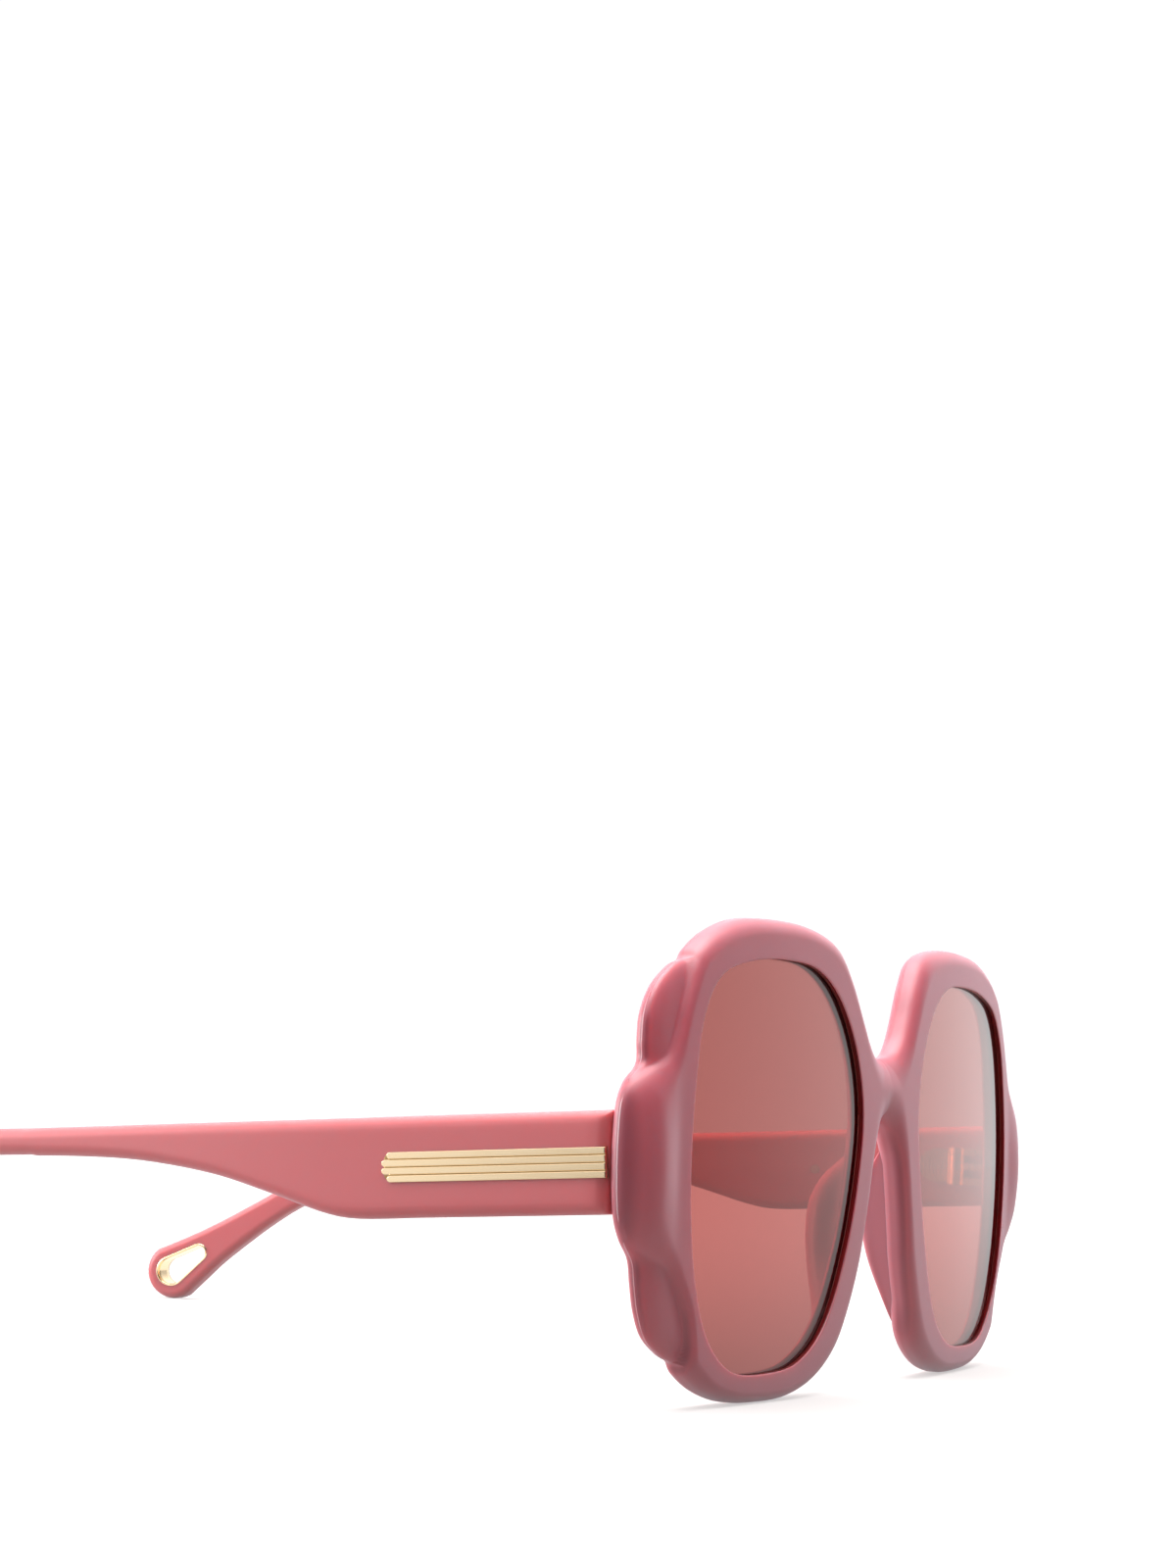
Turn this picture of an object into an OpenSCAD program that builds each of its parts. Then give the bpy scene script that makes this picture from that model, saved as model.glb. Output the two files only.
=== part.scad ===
// Oversized sunglasses: a lobed acetate front, two lenses and two folding temples.
// +X is the wearer's left, the face looks along -Y, +Z is up, and the rims stand on Z = 0.
// Left-hand pieces are drawn at +X and mirrored for the right.

/* [Lenses] */
// Width of each lens opening
lens_w = 51.4; // [43:0.2:62]
// Height of each lens opening
lens_h = 53; // [44:0.2:64]
// Distance between the two lens openings
lens_gap = 23; // [19:0.2:28]
// Thickness of the lens
lens_t = 1.8; // [1.6:0.1:2.2]
// Depth of the lens behind the face of the rim
lens_recess = 0.6; // [0.4:0.1:1.2]
// Depth that the lens edge goes into the rim
groove_d = 0.6; // [0.4:0.1:1]

/* [Front] */
// Radius of the curved face, seen from above
face_r = 560; // [400:10:900]
// Thickness of the front
front_t = 4.5; // [4.2:0.1:5.5]
// Rim width above the lens
rim_top = 5.2; // [4:0.1:8]
// Rim width below the lens
rim_base = 3.7; // [3:0.1:6]
// Rim width at the middle lobe, where the temple joins
side_w = 12.6; // [10:0.1:16]
// Rim width at the two shoulder lobes
lobe_w = 7.4; // [6:0.1:9]
// Height of the bridge's top edge above the lens centre
bridge_rise = 14.8; // [12:0.1:17]
// Height of the bridge at its middle
bridge_h = 8.3; // [6:0.1:10]

/* [Nose pads] */
// Depth of the pads behind the front
pad_d = 4.4; // [3:0.1:6]
// Length of a pad
pad_len = 22; // [16:0.5:24]
// Width of a pad
pad_w = 5.6; // [4.5:0.1:6.5]

/* [Temples] */
// Length of a temple, from the front to the end of the tip
temple_len = 147.3; // [128:0.1:165]
// Height of the temple's blade
temple_h = 12.6; // [10.8:0.1:15.2]
// Thickness of the blade
temple_t = 4.5; // [4:0.1:5.5]
// Length of the deep part of the blade
blade_len = 35; // [33:0.5:42]
// Height of the arm at its thinnest
arm_h = 3.5; // [3.2:0.1:4.5]
// Thickness of the arm and the tip
arm_t = 3.6; // [3.2:0.1:4.2]
// Angle that the temples fall towards the ears
temple_drop = 4.1; // [3:0.1:5]
// Angle that the temples lean inwards
toe_in = 2.3; // [0:0.1:4]
// Distance that the tip curls inwards
tip_curl = 4.1; // [0:0.1:8]
// Radius of the rounded tip
tip_r = 4.7; // [4.4:0.1:5.6]
// Gap between the front and the end of an open temple
butt_gap = 0.15; // [0.1:0.05:0.3]

/* [Hinges] */
// Radius of the hinge knuckles
knuckle_r = 1.5; // [1.2:0.1:1.8]
// Distance from one knuckle to the next
knuckle_pitch = 1.16; // [1:0.02:1.4]
// Gap between two knuckles
knuckle_gap = 0.06; // [0.04:0.01:0.1]
// Radius of the screw's shank
screw_r = 0.6; // [0.5:0.05:0.7]
// Gap round the screw in the knuckles that turn on it
screw_clear = 0.03; // [0.02:0.01:0.08]
// Distance from the front to the hinge axis
hinge_set = 5; // [4:0.1:6]

/* [Trim] */
// Length of the ribbed plaque on a blade
plaque_len = 31; // [20:0.5:33]
// Height of the plaque
plaque_h = 3.85; // [3:0.05:4.5]
// Depth of the plaque's pocket
plaque_sink = 0.9; // [0.6:0.1:1.2]
// Height of the plaque's ribs over the blade
rib_out = 0.25; // [0.1:0.05:0.4]
// Radius of the rivet that holds the plaque
rivet_r = 0.7; // [0.5:0.05:0.9]
// Wall of the metal ring in the tip window
ring_wall = 0.4; // [0.3:0.05:0.6]
// Radius of the core wire inside a temple
wire_r = 0.6; // [0.4:0.05:0.7]

/* [Hidden] */
$fn = 48;

acetate = "#C98088";
tint = "#B8766F";
gold = "#EBD6A4";
steel = "#B9BBBE";

// Lens centre, and the heights and widths that the front's outline runs through
lens_x = (lens_gap + lens_w) / 2;
lens_z = rim_base + lens_h / 2;
nose_x = lens_gap / 2;
top_z = lens_z + lens_h / 2 + rim_top;
side_x = nose_x + lens_w + side_w;
bridge_z = lens_z + bridge_rise;
arch_z = bridge_z - bridge_h;

// Radii of the curved layers of the front, all about one upright line
back_r = face_r - front_t;
lens_face_r = face_r - lens_recess;
lens_back_r = lens_face_r - lens_t;
edge_clear = 0.05;

// Place of the temples, measured at the back of the front
temple_x = side_x - 0.3 - temple_t / 2;
temple_y = layerY(back_r, temple_x);
temple_top = lens_z + temple_h / 2 - 0.1;
tip_y = temple_y + temple_len - tip_r;
curl_y = tip_y - 57;
depth = temple_y + temple_len;

hinge_y = temple_y + hinge_set;
hinge_x = centreX(hinge_y) - temple_t / 2 - knuckle_r - 0.3;
hinge_z = edgeZ(hinge_y) - temple_h / 2;
hinge_h = 5 * knuckle_pitch;
plate_x = hinge_x - 1.4;
plate_y = layerY(back_r, plate_x);

// Depth of a curved layer at one distance from the middle
function layerY(r, x) = face_r - sqrt(r * r - x * x);
// Height of the temple's top edge
function edgeZ(y) = temple_top - (y - temple_y) * tan(temple_drop);
// A point below the top edge, from the arm's height at f = 0 to the blade's height at f = 1
function below(y, f) = [y, edgeZ(y) - arm_h - (temple_h - arm_h) * f];
// Middle of the temple's thickness
function centreX(y) = temple_x - (y - temple_y) * tan(toe_in) - tip_curl * pow(max(0, y - curl_y) / 57, 2);
// Half the temple's thickness
function halfT(y) = let (f = min(max((y - temple_y - blade_len - 6) / 45, 0), 1))
    (temple_t + (arm_t - temple_t) * f * f * (3 - 2 * f)) / 2;

// Smooth curves through a few points, and the same outline moved outwards
function between(a, b, c, d, t) = 0.5 * (2 * b + (c - a) * t + (2 * a - 5 * b + 4 * c - d) * t * t
    + (3 * b - a - 3 * c + d) * t * t * t);
function loop(p, n) = let (m = len(p)) [for (i = [0:m - 1]) for (k = [0:n - 1])
    between(p[(i + m - 1) % m], p[i], p[(i + 1) % m], p[(i + 2) % m], k / n)];
function run(p, n) = let (m = len(p)) [for (i = [0:m - 2]) for (k = [0:n - 1])
    between(p[max(i - 1, 0)], p[i], p[i + 1], p[min(i + 2, m - 1)], k / n)];
function grown(p, d) = let (m = len(p)) [for (i = [0:m - 1])
    let (t = p[(i + 1) % m] - p[(i + m - 1) % m]) p[i] + d * [t.y, -t.x] / norm(t)];
function flipped(p) = [for (i = [len(p) - 1:-1:0]) [-p[i].x, p[i].y]];

// Lens opening in half widths and half heights from its centre, anticlockwise from the temple side
lens_shape = [[1, 0.1], [0.965, 0.405], [0.887, 0.687], [0.712, 0.883], [0.4, 0.97], [0, 1],
    [-0.397, 0.974], [-0.689, 0.838], [-0.903, 0.593], [-1, 0.29], [-0.957, -0.028],
    [-0.817, -0.424], [-0.591, -0.778], [-0.28, -0.958], [0.109, -1], [0.498, -0.97],
    [0.77, -0.8], [0.926, -0.518], [0.992, -0.198]];
opening = loop([for (p = lens_shape) [lens_x + p.x * lens_w / 2, lens_z + p.y * lens_h / 2]], 3);

// Half of the front's outline, from the bridge's foot round the rim to the bridge's top
function sidePoint(out, f) = [nose_x + lens_w + out, lens_z + f * lens_h / 2];
foot = [[0, arch_z], [nose_x - 8.5, arch_z - 1.6], [nose_x - 6.4, arch_z - 5.7],
    [nose_x - 4.9, arch_z - 10.7], [nose_x - 3.5, arch_z - 15.7]];
base = [[nose_x - 2.2, lens_z - 0.51 * lens_h / 2], [nose_x + 0.8, lens_z - 0.73 * lens_h / 2],
    [nose_x + 5, lens_z - 0.93 * lens_h / 2], [nose_x + 11.5, 2], [lens_x - 6, 0.25], [lens_x + 2.8, 0],
    [lens_x + 10.3, 0.4], [lens_x + 16.8, 1.9], sidePoint(-4.3, -0.989), sidePoint(-2.6, -0.928)];
lobes = [sidePoint(0.4, -0.887), sidePoint(3.9, -0.808), sidePoint(6.1, -0.687),
    sidePoint(lobe_w - 0.1, -0.556), sidePoint(lobe_w + 0.7, -0.454), sidePoint(side_w - 2.2, -0.36),
    sidePoint(side_w - 0.6, -0.235), sidePoint(side_w, 0.01), sidePoint(side_w - 0.5, 0.254),
    sidePoint(side_w - 2.2, 0.375), sidePoint(lobe_w + 0.2, 0.458), sidePoint(lobe_w, 0.556),
    sidePoint(lobe_w - 0.6, 0.687), sidePoint(4.4, 0.82), sidePoint(0.6, 0.917)];
brow = [sidePoint(-2.3, 0.955), [lens_x + 21.8, top_z - 4.9], [lens_x + 17.3, top_z - 2.6],
    [lens_x + 9.8, top_z - 0.6], [lens_x - 1.2, top_z], [lens_x - 11.2, top_z - 0.4],
    [nose_x + 6.5, top_z - 2.1], [nose_x + 2.1, top_z - 5.9], [nose_x - 1.5, bridge_z + 6],
    [nose_x - 4.3, bridge_z + 2.6], [nose_x - 7.5, bridge_z + 0.6], [0, bridge_z]];
half = run(concat(foot, base, lobes, brow), 2);
outline = concat(half, [[0, bridge_z]], [for (p = flipped(half)) if (p.x < -0.01) p]);

// Side view of a temple: the straight top edge, the turn down to the ear, the round tip and back
tip_arc = [for (a = [60:-15:-120]) [tip_y + tip_r * cos(a), tip_r + tip_r * sin(a)]];
upper = run([[curl_y, edgeZ(curl_y)], [tip_y - 44, edgeZ(tip_y - 44)], [tip_y - 35, tip_r + 22.7],
    [tip_y - 26, tip_r + 19.4], [tip_y - 16.5, tip_r + 13.9], [tip_y - 8.2, tip_r + 9.1],
    [tip_y - 2.2, tip_r + 6], tip_arc[1]], 3);
lower = run([tip_arc[len(tip_arc) - 1], [tip_y - 5.7, tip_r - 0.7], [tip_y - 8.2, tip_r + 1.8],
    [tip_y - 12.1, tip_r + 5.1], [tip_y - 16.7, tip_r + 8.7], [tip_y - 22, tip_r + 12.2],
    [tip_y - 30, tip_r + 16.2], [tip_y - 40, tip_r + 19.8], below(tip_y - 48, 0), below(curl_y, 0)], 3);
step_y = temple_y + blade_len;
haunch = run([below(step_y + 53, 0.01), below(step_y + 43, 0.04), below(step_y + 33, 0.125),
    below(step_y + 22, 0.337), below(step_y + 13, 0.63), below(step_y + 5, 0.913), below(step_y, 1),
    below(step_y - 8, 1)], 3);
side_view = concat([[temple_y - 4, edgeZ(temple_y - 4)]], upper, [for (i = [1:len(tip_arc) - 2]) tip_arc[i]],
    lower, haunch, [below(temple_y - 4, 1)]);

// Tear-shaped window in the tip: a small circle and a large one with their common tangents
window_small = [tip_y - 4.6, tip_r + 3.4, 1.6];
window_large = [tip_y + 0.2, tip_r, 2.6];
function windowShape(d) = let (v = [window_large.x - window_small.x, window_large.y - window_small.y],
    a = atan2(v.y, v.x), b = acos((window_small.z - window_large.z) / norm(v)))
    concat([for (i = [0:12]) let (t = a + b + i * (360 - 2 * b) / 12)
        [window_small.x + (window_small.z + d) * cos(t), window_small.y + (window_small.z + d) * sin(t)]],
    [for (i = [0:12]) let (t = a - b + i * 2 * b / 12)
        [window_large.x + (window_large.z + d) * cos(t), window_large.y + (window_large.z + d) * sin(t)]]);

module acrossY(y0, y1) translate([0, y1, 0]) rotate([90, 0, 0]) linear_extrude(y1 - y0) children();
module acrossX(x0, x1) translate([x0, 0, 0]) rotate([90, 0, 90]) linear_extrude(x1 - x0) children();
module inside(r) translate([0, face_r, -20]) cylinder(h = top_z + 60, r = r, $fn = 720);
module layer(outer, inner) difference() {
    inside(outer);
    inside(inner);
}

// Puts a left-hand piece in its place, or its mirror image for the right
module placed(side) translate([0, -depth / 2, 0]) mirror([side == "right" ? 1 : 0, 0, 0]) children();

// The temple's shape from above, as a wall of any thickness over or under its own
module plan(extra) translate([0, 0, -10]) linear_extrude(top_z + 20)
    let (ys = [for (i = [0:32]) temple_y - 6 + i * (temple_len + 8) / 32])
    polygon(concat([for (y = ys) [centreX(y) + halfT(y) + extra, y]],
        [for (i = [32:-1:0]) [centreX(ys[i]) - halfT(ys[i]) - extra, ys[i]]]));

// A frame on a temple's face: local +Y runs along the temple, +X points out of the outer face
module onFace(y, side_sign, drop) translate([centreX(y) + side_sign * temple_t / 2, y, edgeZ(y) - temple_h / 2])
    rotate([0, 0, toe_in]) rotate([-drop, 0, 0]) children();

module openingBlock(grow, outer, inner) intersection() {
    acrossY(-5, 30) polygon(grown(opening, grow));
    layer(outer, inner);
}

module frontHingePlate() translate([plate_x - 3, plate_y - 1, hinge_z - hinge_h / 2 - 0.7])
    cube([6, 1.5, hinge_h + 1.4]);

module frontFrame() translate([0, -depth / 2, 0]) color(acetate) difference() {
    intersection() {
        acrossY(-5, 30) polygon(outline);
        layer(face_r, back_r);
    }
    for (m = [0, 1]) mirror([m, 0, 0]) {
        openingBlock(0, face_r + 2, back_r - 2);
        openingBlock(groove_d, lens_face_r, lens_back_r);
        frontHingePlate();
    }
}

module lens(side) placed(side) color(tint, 0.6)
    openingBlock(groove_d - edge_clear, lens_face_r, lens_back_r);

// A pad grows from the back of the rim beside the nose and leans away from the nose as it goes back
module nosePad(side) placed(side) color(acetate) intersection() {
    inside(back_r);
    translate([nose_x - 1.6, 0, lens_z - 11]) rotate([0, -19, 0]) intersection() {
        acrossY(0, front_t + pad_d) polygon([for (a = [0:10:350]) [(pad_w / 2 + 0.4) * cos(a) + 1.6,
            pad_len / 2 * sin(a)]]);
        translate([0, 0, -pad_len]) linear_extrude(pad_len * 2) polygon([[-pad_w / 2, 0],
            [-pad_w / 2 + 0.6, front_t], [-pad_w / 2 + 3.4, front_t + pad_d], [pad_w, front_t + pad_d],
            [pad_w, 0]]);
    }
}

// Knuckles number 0 to 4 from the bottom: the even ones belong to the front
module knuckle(k, bore) translate([hinge_x, hinge_y, hinge_z - hinge_h / 2 + k * knuckle_pitch + knuckle_gap / 2])
    difference() {
        union() {
            cylinder(h = knuckle_pitch - knuckle_gap, r = knuckle_r);
            children();
        }
        translate([0, 0, -1]) cylinder(h = knuckle_pitch + 2, r = bore);
    }

screw_head_h = 0.6;
screw_head_r = 1.05;
module screwHead(extra) translate([hinge_x, hinge_y, hinge_z + hinge_h / 2 - knuckle_gap / 2 - screw_head_h])
    cylinder(h = screw_head_h + extra, r = screw_head_r);

module frontHinge(side) placed(side) color(gold) difference() {
    union() {
        frontHingePlate();
        for (k = [0, 2, 4]) knuckle(k, screw_r)
            translate([-0.8, plate_y - hinge_y, 0]) cube([1.6, hinge_y - plate_y, knuckle_pitch - knuckle_gap]);
    }
    screwHead(1);
}

module hingeScrew(side) placed(side) color(steel) difference() {
    union() {
        screwHead(0);
        translate([hinge_x, hinge_y, hinge_z - hinge_h / 2 + knuckle_gap / 2])
            cylinder(h = hinge_h - knuckle_gap - 0.1, r = screw_r);
    }
    translate([hinge_x - 2, hinge_y - 0.15, hinge_z + hinge_h / 2 - knuckle_gap / 2 - 0.3]) cube([4, 0.3, 1]);
}

// The leaf on the temple's inner face, with a round end, sunk into the acetate
leaf_h = 5.2;
leaf_out = 0.8;
leaf_sink = 1;
module templeLeaf() onFace(hinge_y, -1, 0) translate([-leaf_out, 0, 0]) rotate([0, 90, 0])
    linear_extrude(leaf_out + leaf_sink) union() {
        translate([-leaf_h / 2, 1.9]) square([leaf_h, 2]);
        translate([0, 3.9]) circle(r = leaf_h / 2);
    }

module templeHinge(side) placed(side) color(gold) union() {
    difference() {
        templeLeaf();
        translate([hinge_x, hinge_y, hinge_z - hinge_h]) cylinder(h = 2 * hinge_h, r = knuckle_r + 0.2);
    }
    for (k = [1, 3]) knuckle(k, screw_r + screw_clear)
        cube([1.4, 3, knuckle_pitch - knuckle_gap]);
}

// The core wire follows the middle of the arm from behind the hinge to just before the window
wire_knots = [[hinge_y, edgeZ(hinge_y) - 3.4], [step_y + 33, edgeZ(step_y + 33) - 2.2],
    [tip_y - 57, edgeZ(tip_y - 57) - arm_h / 2], [tip_y - 48, edgeZ(tip_y - 48) - arm_h / 2],
    [tip_y - 37, tip_r + 21.3], [tip_y - 27, tip_r + 17.4], [tip_y - 18, tip_r + 12.1],
    [tip_y - 10, tip_r + 6.6]];
function wireZ(y) = let (rows = [for (i = [0:len(wire_knots) - 2]) if (y >= wire_knots[i].x) i],
    i = len(rows) == 0 ? 0 : rows[len(rows) - 1], n = len(wire_knots) - 1)
    between(wire_knots[max(i - 1, 0)], wire_knots[i], wire_knots[i + 1], wire_knots[min(i + 2, n)],
        (y - wire_knots[i].x) / (wire_knots[i + 1].x - wire_knots[i].x)).y;
wire_path = [for (i = [0:23]) let (y = hinge_y + 9.4 + i * (tip_y - 10.5 - hinge_y - 9.4) / 23)
    [centreX(y), y, wireZ(y)]];
module wireTube(r) let (n = 8, m = len(wire_path)) polyhedron(
    points = [for (i = [0:m - 1]) let (t = wire_path[min(i + 1, m - 1)] - wire_path[max(i - 1, 0)],
        w = t / norm(t), u = cross([1, 0, 0], w) / norm(cross([1, 0, 0], w)), v = cross(w, u))
        for (k = [0:n - 1]) wire_path[i] + r * (cos(k * 360 / n) * u + sin(k * 360 / n) * v)],
    faces = concat([[for (k = [0:n - 1]) k]], [[for (k = [n - 1:-1:0]) (m - 1) * n + k]],
        [for (i = [0:m - 2]) for (k = [0:n - 1])
            [i * n + k, (i + 1) * n + k, (i + 1) * n + (k + 1) % n, i * n + (k + 1) % n]]));
module coreWire(side) placed(side) color(steel) wireTube(wire_r);

// The plaque's outline: a square front end, and a rear end rounded at its corners
plaque_y = temple_y + 0.5;
module plaqueOutline() union() {
    translate([-plaque_h / 2, 0]) square([plaque_h, plaque_len - 1.6]);
    translate([-plaque_h / 2 + 1.2, plaque_len - 2]) square([plaque_h - 2.4, 2]);
    for (x = [-plaque_h / 2 + 1.2, plaque_h / 2 - 1.2]) translate([x, plaque_len - 1.6]) circle(r = 1.2);
}
module plaqueBlock(out) onFace(plaque_y, 1, temple_drop) translate([-plaque_sink, 0, 0]) rotate([0, 90, 0])
    linear_extrude(plaque_sink + out) plaqueOutline();

module plaqueRivetPin() onFace(plaque_y, -1, temple_drop) translate([0, plaque_len - 2.6, 0]) rotate([0, 90, 0])
    cylinder(h = temple_t - plaque_sink, r = rivet_r);

rib_pitch = plaque_h / 4;
module plaque(side) placed(side) color(gold) difference() {
    plaqueBlock(rib_out);
    onFace(plaque_y, 1, temple_drop) for (i = [-1:1]) translate([0, -1, i * rib_pitch - 0.1])
        cube([1, plaque_len + 2, 0.2]);
}

module plaqueRivet(side) placed(side) color(gold) plaqueRivetPin();

module temple(side) placed(side) color(acetate) difference() {
    intersection() {
        acrossX(centreX(tip_y) - 20, side_x + 5) polygon(side_view);
        plan(0);
        inside(back_r - butt_gap);
    }
    acrossX(0, side_x + 5) polygon(windowShape(0));
    plaqueBlock(2);
    plaqueRivetPin();
    templeLeaf();
    wireTube(wire_r);
}

module tipRing(side) placed(side) color(gold) intersection() {
    acrossX(0, side_x + 5) difference() {
        polygon(windowShape(0));
        polygon(windowShape(-ring_wall));
    }
    plan(0.15);
}

frontFrame();  // front_frame
lens("right");  // lens_right
lens("left");  // lens_left
nosePad("right");  // nose_pad_right
nosePad("left");  // nose_pad_left
frontHinge("right");  // front_hinge_right
frontHinge("left");  // front_hinge_left
hingeScrew("right");  // hinge_screw_right
hingeScrew("left");  // hinge_screw_left
temple("right");  // temple_right
temple("left");  // temple_left
templeHinge("right");  // temple_hinge_right
templeHinge("left");  // temple_hinge_left
coreWire("right");  // core_wire_right
coreWire("left");  // core_wire_left
plaque("right");  // plaque_right
plaque("left");  // plaque_left
plaqueRivet("right");  // plaque_rivet_right
plaqueRivet("left");  // plaque_rivet_left
tipRing("right");  // tip_ring_right
tipRing("left");  // tip_ring_left
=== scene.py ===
from math import cos, pi, radians, sin

import bmesh
import bpy
import numpy as np
from mathutils import Matrix, Vector


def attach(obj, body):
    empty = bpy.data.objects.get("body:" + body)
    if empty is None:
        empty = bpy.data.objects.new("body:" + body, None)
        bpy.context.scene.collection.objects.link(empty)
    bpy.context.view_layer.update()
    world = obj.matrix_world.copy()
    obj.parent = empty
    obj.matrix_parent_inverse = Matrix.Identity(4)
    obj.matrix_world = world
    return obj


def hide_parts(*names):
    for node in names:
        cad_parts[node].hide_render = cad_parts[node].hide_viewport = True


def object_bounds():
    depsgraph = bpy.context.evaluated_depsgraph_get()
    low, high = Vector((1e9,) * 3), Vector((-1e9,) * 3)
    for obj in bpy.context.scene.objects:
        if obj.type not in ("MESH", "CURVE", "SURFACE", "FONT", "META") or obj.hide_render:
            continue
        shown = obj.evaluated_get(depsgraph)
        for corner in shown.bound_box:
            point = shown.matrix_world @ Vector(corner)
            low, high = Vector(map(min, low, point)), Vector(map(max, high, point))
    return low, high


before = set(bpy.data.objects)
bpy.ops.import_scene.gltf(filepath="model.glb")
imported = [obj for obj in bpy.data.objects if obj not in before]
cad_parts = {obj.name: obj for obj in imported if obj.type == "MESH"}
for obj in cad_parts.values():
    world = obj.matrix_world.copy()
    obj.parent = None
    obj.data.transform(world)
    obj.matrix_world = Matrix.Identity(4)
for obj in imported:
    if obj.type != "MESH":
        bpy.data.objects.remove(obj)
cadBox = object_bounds()
mm = 0.001
faceY = cadBox[0][1] / mm   # the front's foremost point, in mm: depths below are measured from here
print("frame loaded:", len(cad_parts), "nodes")


def linearColour(hexText):
    parts = [int(hexText[i:i + 2], 16) / 255 for i in (1, 3, 5)]
    return [c / 12.92 if c <= 0.04045 else ((c + 0.055) / 1.055) ** 2.4 for c in parts] + [1.0]


def addNode(tree, kind, settings=None, inputs=None):
    node = tree.nodes.new(kind)
    for key, value in (settings or {}).items():
        setattr(node, key, value)
    for key, value in (inputs or {}).items():
        if isinstance(value, bpy.types.NodeSocket):
            tree.links.new(value, node.inputs[key])
        else:
            node.inputs[key].default_value = value
    return node


def newMaterial(name):
    material = bpy.data.materials.new(name)
    material.use_nodes = True
    material.node_tree.nodes.clear()
    return material, material.node_tree


def finishMaterial(tree, shader):
    output = addNode(tree, "ShaderNodeOutputMaterial")
    tree.links.new(shader.outputs[0], output.inputs["Surface"])


def smoothLine(points, steps, closed=False):
    points = np.array(points, float)
    count = len(points)
    line = []
    for i in range(count if closed else count - 1):
        if closed:
            pick = [(i + k) % count for k in (-1, 0, 1, 2)]
        else:
            pick = [min(max(i + k, 0), count - 1) for k in (-1, 0, 1, 2)]
        a, b, c, d = points[pick]
        for k in range(steps):
            t = k / steps
            line.append(0.5 * (2 * b + (c - a) * t + (2 * a - 5 * b + 4 * c - d) * t ** 2
                               + (3 * b - a - 3 * c + d) * t ** 3))
    if not closed:
        line.append(points[-1])
    return np.array(line)


def ease(value, low, high):
    t = np.clip((value - low) / (high - low), 0, 1)
    return t * t * (3 - 2 * t)


def distanceTo(points, line):
    # shortest distance from each point to a row of straight segments
    starts, spans = line[:-1], line[1:] - line[:-1]
    lengths = np.maximum((spans ** 2).sum(1), 1e-12)
    nearest = []
    for part in np.array_split(points, max(1, len(points) // 2000)):
        reach = part[:, None] - starts[None]
        t = np.clip((reach * spans).sum(2) / lengths, 0, 1)
        nearest.append(np.sqrt(((reach - t[..., None] * spans) ** 2).sum(2).min(1)))
    return np.concatenate(nearest)


def isInside(points, line):
    x, z = points[:, 0], points[:, 1]
    inside = np.zeros(len(points), bool)
    for a, b in zip(line, np.roll(line, -1, 0)):
        if a[1] != b[1]:
            crosses = (a[1] > z) != (b[1] > z)
            inside ^= crosses & (x < (b[0] - a[0]) * (z - a[1]) / (b[1] - a[1]) + a[0])
    return inside


def rounding(distance, width, depth):
    # how far a surface has fallen away near its edge, as a quarter of an ellipse
    t = 1 - np.clip(distance / width, 0, 1)
    return depth * (1 - np.sqrt(np.maximum(1 - t * t, 0)))


def rayLoop(centre, directions, line):
    # where rays from a centre meet a closed outline
    starts = line - centre
    spans = np.roll(line, -1, 0) - line
    found = []
    for d in directions:
        cross = d[0] * spans[:, 1] - d[1] * spans[:, 0]
        cross = np.where(abs(cross) < 1e-12, 1e-12, cross)
        reach = (starts[:, 0] * spans[:, 1] - starts[:, 1] * spans[:, 0]) / cross
        along = (starts[:, 0] * d[1] - starts[:, 1] * d[0]) / cross
        hit = (reach > 0) & (along > -1e-6) & (along < 1 + 1e-6)
        found.append(centre + d * reach[hit].min())
    return np.array(found)


def makePiece(name, points, faces, body, materials, replaced=(), mirror=False, pick=None):
    points = np.array(points, float)
    faces = [list(face) for face in faces]
    if mirror:
        points = points * [-1, 1, 1]
        faces = [face[::-1] for face in faces]
    points = (points + [0, faceY, 0]) * mm
    mesh = bpy.data.meshes.new(name)
    mesh.from_pydata(points.tolist(), [], faces)
    for material in materials:
        mesh.materials.append(material)
    if pick is not None:
        mesh.polygons.foreach_set("material_index", np.array(pick, np.int32))
    mesh.polygons.foreach_set("use_smooth", np.ones(len(mesh.polygons), bool))
    piece = bpy.data.objects.new(name, mesh)
    bpy.context.scene.collection.objects.link(piece)
    work = bmesh.new()
    work.from_mesh(mesh)
    bmesh.ops.remove_doubles(work, verts=work.verts, dist=1e-7)
    bmesh.ops.recalc_face_normals(work, faces=work.faces)
    work.to_mesh(mesh)
    work.free()
    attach(piece, body)
    if replaced:
        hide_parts(*replaced)
    return piece


def gridFaces(rows, columns, wrapRows=False, wrapColumns=False, offset=0):
    faces = []
    for i in range(rows if wrapRows else rows - 1):
        for j in range(columns if wrapColumns else columns - 1):
            a, b = i * columns + j, i * columns + (j + 1) % columns
            c, d = (i + 1) % rows * columns + (j + 1) % columns, (i + 1) % rows * columns + j
            faces.append([a + offset, b + offset, c + offset, d + offset])
    return faces


camera = {
    "place": (-452.935, -159.102, 37.294),   # mm, from the middle of the front at the floor
    "turn": -65.3,
    "tilt": -5.27,
    "roll": 2.73,
    "focalLength": 78.75,
}


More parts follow.
